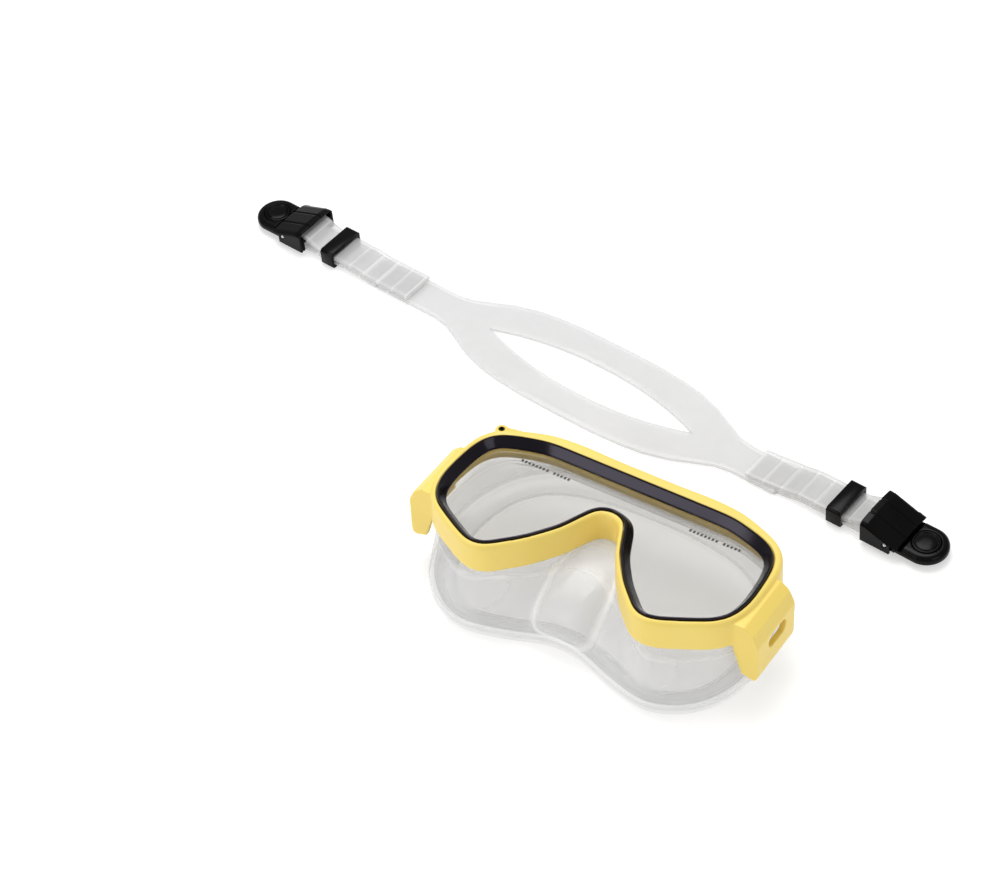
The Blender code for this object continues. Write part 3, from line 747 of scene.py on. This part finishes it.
def run_rows():
    """Rows of (place, across, up, half width, hole half width) from the left tail to the right tail."""
    left, right = end_rows("left"), end_rows("right")
    rows = [(p, -across, up, wide, gap) for p, across, up, wide, gap in left]
    start, stop = left[-1][0].x, right[-1][0].x
    for i in range(1, ROWS):
        u = start + (stop - start) * i / ROWS
        place = Vector((u, 0, RUN_HEIGHT))
        rows.append((place, Vector((0, 1, 0)), Vector((0, 0, -1)), strap_width(u), hole_width(u)))
    return rows + list(reversed(right))


BORDER = 1.3
CELLS = 12
NARROW = 9.5
LADDER_LENGTH, RIB_STEP, RIB_LONG = 130, 8.6, 0.9
EDGE_DROP, EDGE_REACH = 0.35, 0.5
TOP_SUNK, UNDER_SUNK = 0.3, 0.5
# Weights of the painted highlight and denser haze on the strap's ribs and borders.
RIB_HIGHLIGHT, BORDER_HIGHLIGHT = 0.4, 0.14


def strap_band(mat):
    """Both bands in one skin. Its faces have raised borders, and ladder ribs across the ends. Ribs and
    borders at the narrow ends carry a painted highlight and denser haze.
    """
    bm = bmesh.new()
    layer = bm.verts.layers.float.new("fold")
    rows = run_rows()
    lengths = [0.0]
    for (p, *_), (q, *_) in zip(rows, rows[1:]):
        lengths.append(lengths[-1] + (q - p).length)
    grid = []
    for k, (p, across, up, wide, gap) in enumerate(rows):
        top, low = [], []
        from_end = min(lengths[k], lengths[-1] - lengths[k])
        ladder = from_end < LADDER_LENGTH and gap == 0 and wide < NARROW
        rib = ladder and (from_end % RIB_STEP) < RIB_LONG
        for sign in (-1, 1):
            for c in range(CELLS + 1):
                t = c / CELLS
                v = wide + (gap - wide) * t if sign == -1 else gap + (wide - gap) * t
                edge = min(abs(wide - v), abs(v - gap) if gap > 0 else math.inf)
                rounding = EDGE_DROP * max(0.0, 1 - edge / EDGE_REACH) ** 2
                sunk = 0.0 if (edge < BORDER or rib) else TOP_SUNK
                thick = STRAP_THICK / 2 - rounding
                top.append(bm.verts.new(p + across * (sign * v) + up * (thick - sunk)))
                low.append(bm.verts.new(p + across * (sign * v) - up * (thick - sunk * UNDER_SUNK)))
                border = wide < NARROW and EDGE_REACH < edge < BORDER + 0.4
                # Ribs and borders get a painted highlight and denser haze.
                weight = RIB_HIGHLIGHT if rib else BORDER_HIGHLIGHT if border else 0.0
                top[-1][layer] = low[-1][layer] = weight
        grid.append((top, low, gap > 0))
    last = len(grid) - 1
    side_count = CELLS + 1
    for k in range(last):
        (at_, al, open_a), (bt, bl, open_b) = grid[k], grid[k + 1]
        for i in range(2 * side_count - 1):
            if i == side_count - 1:
                continue
            bm.faces.new((at_[i], at_[i + 1], bt[i + 1], bt[i]))
            bm.faces.new((al[i + 1], al[i], bl[i], bl[i + 1]))
        bm.faces.new((at_[-1], al[-1], bl[-1], bt[-1]))
        bm.faces.new((al[0], at_[0], bt[0], bl[0]))
        if open_a or open_b:
            i, j = side_count - 1, side_count
            bm.faces.new((at_[i], al[i], bl[i], bt[i]))
            bm.faces.new((al[j], at_[j], bt[j], bl[j]))
    for k in (0, last):
        top, low, _ = grid[k]
        for i in range(2 * side_count - 1):
            if i != side_count - 1:
                bm.faces.new((top[i], top[i + 1], low[i + 1], low[i]))
    bmesh.ops.remove_doubles(bm, verts=bm.verts, dist=0.001)
    obj = shaded(finish_mesh("strap_band", bm, STRAP, mat), 50)
    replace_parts(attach(obj, "strap"), "strap")
    return obj


# ---------------------------------------------------------------- strap ends


KEEPER_HALF, KEEPER_BEVEL = 3.5, 0.35

# Half width, low, high and corner.
KEEPER_OUTER, KEEPER_INNER = (10.0, 0.0, 9.0, 1.1), (8.7, 1.3, 6.7, 0.2)


def keeper_section(x, y, z0, z1, c):
    """A rectangle with cut corners."""
    corners = (
        (-y, z0 + c), (-y + c, z0), (y - c, z0), (y, z0 + c),
        (y, z1 - c), (y - c, z1), (-y + c, z1), (-y, z1 - c),
    )
    return [Vector((x, a, b)) for a, b in corners]


def keeper_loop(side, mat):
    x0, x1 = KEEPER_X - KEEPER_HALF, KEEPER_X + KEEPER_HALF
    turns = ((x0, KEEPER_OUTER), (x1, KEEPER_OUTER), (x1, KEEPER_INNER), (x0, KEEPER_INNER))
    rings = [keeper_section(x, *section) for x, section in turns]
    obj = finish_mesh(side + "_keeper_loop", lofted(rings, True), STRAP @ end_frame(side), mat)
    bevelled(obj, KEEPER_BEVEL)
    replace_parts(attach(obj, side + "_keeper"), side + "_keeper")
    return obj


HOOD_BACK, HOOD_BACK_TOP = -2.5, 13.4
HOOD_TOP, HOOD_FALL, HOOD_RUN = 13.1, 5.2, 14
HOOD_OUT, HOOD_WALL_IN, HOOD_THICK, WING_THICK = 11.6, 10.3, 1.3, 1.45
HOOD_SIDES, HOOD_LOW = (-3, -2.6, 0, 2, 4, 6, 8, 10, 11.4), 1.9
HOOD_WING = (11.5, 12.5, 13.7, 15)
ROLLER_HOLE, PIN_HOLE, STUD_HOLE = 1.35, 1.15, 2.95
DRILL_FROM, DRILL_TO = 7.5, 13.0
FINE_VOXEL, HOOD_EASE, BODY_EASE = 0.2, 5, 4


def hood_top(x):
    return HOOD_BACK_TOP if x < HOOD_BACK else HOOD_TOP - HOOD_FALL * x / HOOD_RUN


def side_holes(radius, x, z, place, mat):
    """A pair of short drills, one for each side wall."""
    return [
        finish_mesh("side_hole", rod_y(((radius, y0), (radius, y1)), x, z), place, mat)
        for y0, y1 in ((-DRILL_TO, -DRILL_FROM), (DRILL_FROM, DRILL_TO))
    ]


def hood_section(x, low):
    """An arch with a groove along its top. The clamped corners keep a thin section from crossing itself."""
    top = hood_top(x)
    right = [
        (3.4, top), (4.0, top - 0.75), (4.6, top - 0.1), (9.6, top - 0.6),
        (10.9, max(top - 1.1, low + 0.25)), (HOOD_OUT, max(top - 2.2, low + 0.1)),
        (HOOD_OUT, low), (HOOD_WALL_IN, low), (HOOD_WALL_IN, top - HOOD_THICK),
    ]
    left = [(-y, z) for y, z in reversed(right)]
    return [Vector((x, y, z)) for y, z in right + left]


def hood(side, mat):
    rings = [hood_section(x, HOOD_LOW) for x in HOOD_SIDES]
    rings += [hood_section(x, hood_top(x) - WING_THICK) for x in HOOD_WING]
    place = STRAP @ end_frame(side)
    obj = finish_mesh(side + "_hood", lofted(rings, False), place, mat)
    combine(obj, side_holes(PIN_HOLE, PIN_X, PIN_Z, place, mat), "DIFFERENCE")
    moulded(obj, FINE_VOXEL, HOOD_EASE)
    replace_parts(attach(obj, side + "_lever"), side + "_release_lever")
    return obj


BODY_NEAR, BODY_STRAIGHT, BODY_TAIL, BODY_HALF = 5.3, 12.5, 9.9, 9.8
TAIL_POINTS, TAIL_TURN, TAIL_SQUASH = 49, 3.75, 0.98


def body_plan(inset):
    """The buckle's outline: square at the strap side and round about the stud."""
    tail, wide = BODY_TAIL - inset, BODY_HALF - inset
    plan = [(BODY_NEAR, -wide), (BODY_STRAIGHT, -wide)]
    for i in range(TAIL_POINTS):
        turn = math.radians(-90 + TAIL_TURN * i)
        plan.append((STUD_X + tail * math.cos(turn) * TAIL_SQUASH, tail * math.sin(turn)))
    return plan + [(BODY_STRAIGHT, wide), (BODY_NEAR, wide)]


DOME = ((0.6, 2.4), (0.0, 2.9), (0.0, 4.4), (0.25, 5.2), (0.9, 5.95), (1.9, 6.4), (3.0, 6.5))
DOME_START = 15.8
RECESS_RADIUS, RECESS_FLOOR, RECESS_TOP = 6.4, 4.8, 8.0
UNDER_HOOD = (
    (0.0, RECESS_FLOOR), (DOME_START, RECESS_FLOOR), (DOME_START + 1.2, RECESS_TOP), (0.0, RECESS_TOP),
)
EAR = ((-3.0, 2.0), (-3.0, 9.2), (3.0, 9.2), (9.8, 7.4), (13.0, 4.6), (13.0, 2.6), (5.6, 2.6), (4.6, 1.6))
EAR_IN, EAR_OUT = 8.8, 10.0


def buckle(side, mat):
    """The body has a domed rim round the stud's cap, and an ear each side of the roller."""
    place = STRAP @ end_frame(side)
    obj = finish_mesh(side + "_buckle", lofted([at(body_plan(d), z) for d, z in DOME], False), place, mat)
    sides = ((-EAR_OUT, -EAR_IN), (EAR_IN, EAR_OUT))
    ears = [finish_mesh("ear", prism_y(EAR, y0, y1), place, mat) for y0, y1 in sides]
    recess = ring_loops(((RECESS_RADIUS, RECESS_FLOOR), (RECESS_RADIUS, RECESS_TOP)), 96, (STUD_X, 0))
    cuts = [
        finish_mesh("under_hood", prism_y(UNDER_HOOD, -12, 12), place, mat),
        finish_mesh("recess", lofted(recess, False), place, mat),
    ]
    stud_hole = ring_loops(((STUD_HOLE, 0), (STUD_HOLE, 8)), 40, (STUD_X, 0))
    holes = side_holes(ROLLER_HOLE, 0, ROLLER_Z, place, mat)
    holes += side_holes(PIN_HOLE, PIN_X, PIN_Z, place, mat)
    holes.append(finish_mesh("stud_hole", lofted(stud_hole, False), place, mat))
    combine(obj, cuts, "DIFFERENCE")
    combine(obj, ears, "UNION")
    combine(obj, holes, "DIFFERENCE")
    moulded(obj, FINE_VOXEL, BODY_EASE)
    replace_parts(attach(obj, side + "_buckle"), side + "_buckle_body")
    return obj


# Pairs of radius and place along the axis.
ROLLER_PROFILE = (
    (1.0, -9.9), (1.1, -9.8), (1.1, -8.55), (2.0, -8.55), (2.2, -8.3), (2.2, 8.3), (2.0, 8.55),
    (1.1, 8.55), (1.1, 9.8), (1.0, 9.9),
)
PIN_PROFILE = ((0.6, -11.5), (0.9, -11.2), (0.9, 11.2), (0.6, 11.5))
CAP_PROFILE = (
    (5.8, 5.1), (6.0, 5.15), (6.1, 5.35), (6.1, 6.15), (5.95, 6.45), (5.7, 6.58), (5.45, 6.58), (5.25, 6.45),
    (5.1, 6.15), (4.95, 6.02), (4.75, 6.02), (4.6, 6.15), (4.45, 6.4), (4.2, 6.5), (2.0, 6.58), (0.4, 6.6),
)
HEAD_HALF, STUD_RADIUS, STUD_POINTS, STUD_BEVEL = 2.9, 2.6, 48, 0.15
HEAD_LOW, HEAD_HIGH, NECK_LOW, NECK_HIGH = 0.4, 2.0, 2.05, 4.95


def roller(side, mat):
    rod = rod_y(ROLLER_PROFILE, 0, ROLLER_Z)
    obj = shaded(finish_mesh(side + "_roller", rod, STRAP @ end_frame(side), mat))
    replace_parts(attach(obj, side + "_roller"), side + "_strap_roller")
    return obj


def pin(side, mat):
    rod = rod_y(PIN_PROFILE, PIN_X, PIN_Z)
    obj = shaded(finish_mesh(side + "_pin", rod, STRAP @ end_frame(side), mat))
    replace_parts(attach(obj, side + "_buckle"), side + "_lever_pin")
    return obj


def stud(side, mat):
    """A long head with round ends that fits the lug's slot, and a round neck over it."""
    head, neck = [], []
    for i in range(STUD_POINTS):
        turn = math.tau * (i + 0.5) / STUD_POINTS
        reach = math.copysign(HEAD_HALF, math.sin(turn))
        x = STUD_X + STUD_RADIUS * math.cos(turn)
        head.append((x, reach + STUD_RADIUS * math.sin(turn)))
        neck.append((x, STUD_RADIUS * math.sin(turn)))
    rings = [at(head, HEAD_LOW), at(head, HEAD_HIGH), at(neck, NECK_LOW), at(neck, NECK_HIGH)]
    obj = finish_mesh(side + "_stud", lofted(rings, False), STRAP @ end_frame(side), mat)
    bevelled(obj, STUD_BEVEL, 2)
    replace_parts(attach(obj, side + "_stud"), side + "_swivel_stud")
    return obj


def cap(side, mat):
    rings = ring_loops(CAP_PROFILE, 96, (STUD_X, 0))
    obj = shaded(finish_mesh(side + "_cap", lofted(rings, False), STRAP @ end_frame(side), mat))
    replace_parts(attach(obj, side + "_stud"), side + "_stud_cap")
    return obj


# ---------------------------------------------------------------- stage


CAMERA_AT = Vector((424.2, -612.31, 883.85))
CAMERA_RIGHT = Vector((0.8375, 0.5406, -0.0800))
CAMERA_UP = Vector((-0.3482, 0.6407, 0.6843))
SENSOR = 36.0

# The focal length is in the same unit as the image's width.
IMAGE_WIDTH = 983
FOCAL_LENGTH = 2800


def camera():
    data = bpy.data.cameras.new("camera")
    data.sensor_width = SENSOR
    data.lens = SENSOR * FOCAL_LENGTH / IMAGE_WIDTH
    data.clip_start, data.clip_end = 0.01, 20
    obj = bpy.data.objects.new("camera", data)
    bpy.context.scene.collection.objects.link(obj)
    right = CAMERA_RIGHT.normalized()
    back = right.cross(CAMERA_UP).normalized()
    turned = Matrix((right, back.cross(right), back)).transposed().to_4x4()
    obj.matrix_world = Matrix.Translation((SHIFT + CAMERA_AT) * MM) @ turned
    bpy.context.scene.camera = obj


FLOOR_GREY, FLOOR_GLOW = 0.6, 0.5
FLOOR_SIZE, FLOOR_HEIGHT = 6000, -0.02
WORLD_LIGHT = 0.42

# Name, place in metres, size in metres and power in watts.
LIGHTS = (
    ("overhead", (-0.35, 0.45, 1.5), 1.0, 19.0),
    ("softbox", (-0.75, -1.25, 0.75), 0.8, 7.0),
    ("side", (1.2, -0.25, 0.9), 0.7, 3.0),
)


def studio():
    floor_mat = Material("floor_white")
    floor_mat.set(Base_Color=(FLOOR_GREY, FLOOR_GREY, FLOOR_GREY, 1), Roughness=0.9, Specular_IOR_Level=0.0)
    floor_mat.set(Emission_Color=(1, 1, 1, 1), Emission_Strength=FLOOR_GLOW)
    bm = bmesh.new()
    bmesh.ops.create_grid(bm, x_segments=1, y_segments=1, size=FLOOR_SIZE)
    floor = finish_mesh("floor", bm, Matrix.Translation((0, 0, FLOOR_HEIGHT)), floor_mat.data)
    world = bpy.data.worlds.new("studio")
    bpy.context.scene.world = world
    world.use_nodes = True
    background = world.node_tree.nodes["Background"]
    background.inputs["Color"].default_value = (1, 1, 1, 1)
    background.inputs["Strength"].default_value = WORLD_LIGHT
    for name, place, size, power in LIGHTS:
        light = bpy.data.lights.new(name, "AREA")
        light.size = size
        light.energy = power
        obj = bpy.data.objects.new(name, light)
        obj.location = place
        obj.rotation_euler = (-Vector(place)).to_track_quat("-Z", "Y").to_euler()
        bpy.context.scene.collection.objects.link(obj)
    bpy.context.scene.view_settings.view_transform = "Standard"


def build():
    yellow = yellow_plastic()
    black = black_plastic(
        "black_plastic", low=0.16, high=0.26, tint=(0.002, 0.0017, 0.002), shine=0.09, hue=(1.0, 1.0, 1.0)
    )
    bezel_black = black_plastic(
        "bezel_black", low=0.12, high=0.2, tint=(0.003, 0.002, 0.003), shine=0.3, hue=(0.86, 0.8, 1.0)
    )
    skirt_silicone = silicone(
        "skirt_silicone", cover=0.29, tint=(0.47, 0.47, 0.48), low_cover=0.3, top_cover=0.12
    )
    strap_silicone = silicone(
        "strap_silicone", cover=0.42, tint=(0.62, 0.62, 0.62), low_cover=1.0, top_cover=1.0
    )
    frame_shell(yellow)
    bush(black)
    bezel(bezel_black)
    lens_pane(lens_glass())
    print_dashes(print_ink())
    face_skirt(skirt_silicone)
    strap_band(strap_silicone)
    wire = steel()
    for side in ("left", "right"):
        keeper_loop(side, black)
        buckle(side, black)
        hood(side, black)
        roller(side, black)
        pin(side, wire)
        stud(side, black)
        cap(side, black)


camera()
studio()
build()
